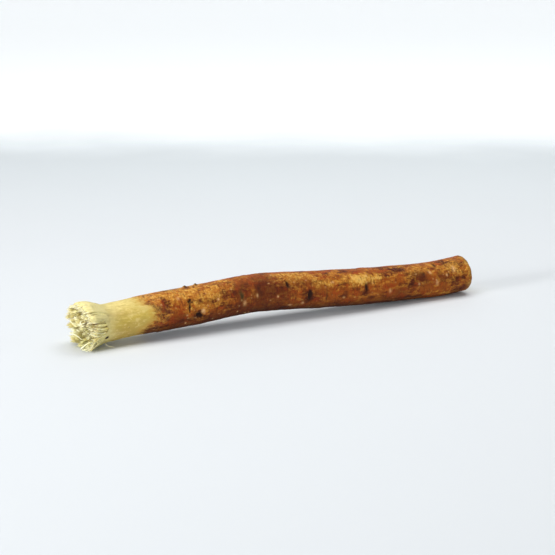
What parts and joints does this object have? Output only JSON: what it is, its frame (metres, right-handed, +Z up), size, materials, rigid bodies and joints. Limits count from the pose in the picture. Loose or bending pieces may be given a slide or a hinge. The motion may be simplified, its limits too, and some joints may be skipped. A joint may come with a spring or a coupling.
{
  "type": "miswak stick",
  "caption": "Slightly arched root stick with brown bark, a peeled end chewed into a splayed fibre brush, and a plain cut butt, used for cleaning teeth.",
  "frame": {"origin": "on the surface that the stick lies on, below the middle of its overall length and width", "axes": "X along the stick from the brush (-X) to the cut butt (+X), Z up"},
  "size_m": [0.1363, 0.0145, 0.0151],
  "materials": {
    "bark": "dry brown root bark, mottled from golden tan to dark brown, with pits, cracks and worn pale spots",
    "peeled_wood": "pale cream to straw wood, matt, with fine lengthwise grain",
    "brush_fibre": "pale cream to greenish split fibres, matt"
  },
  "bodies": {
    "root": {"miswak_stick": "bark"}
  },
  "joints": []
}
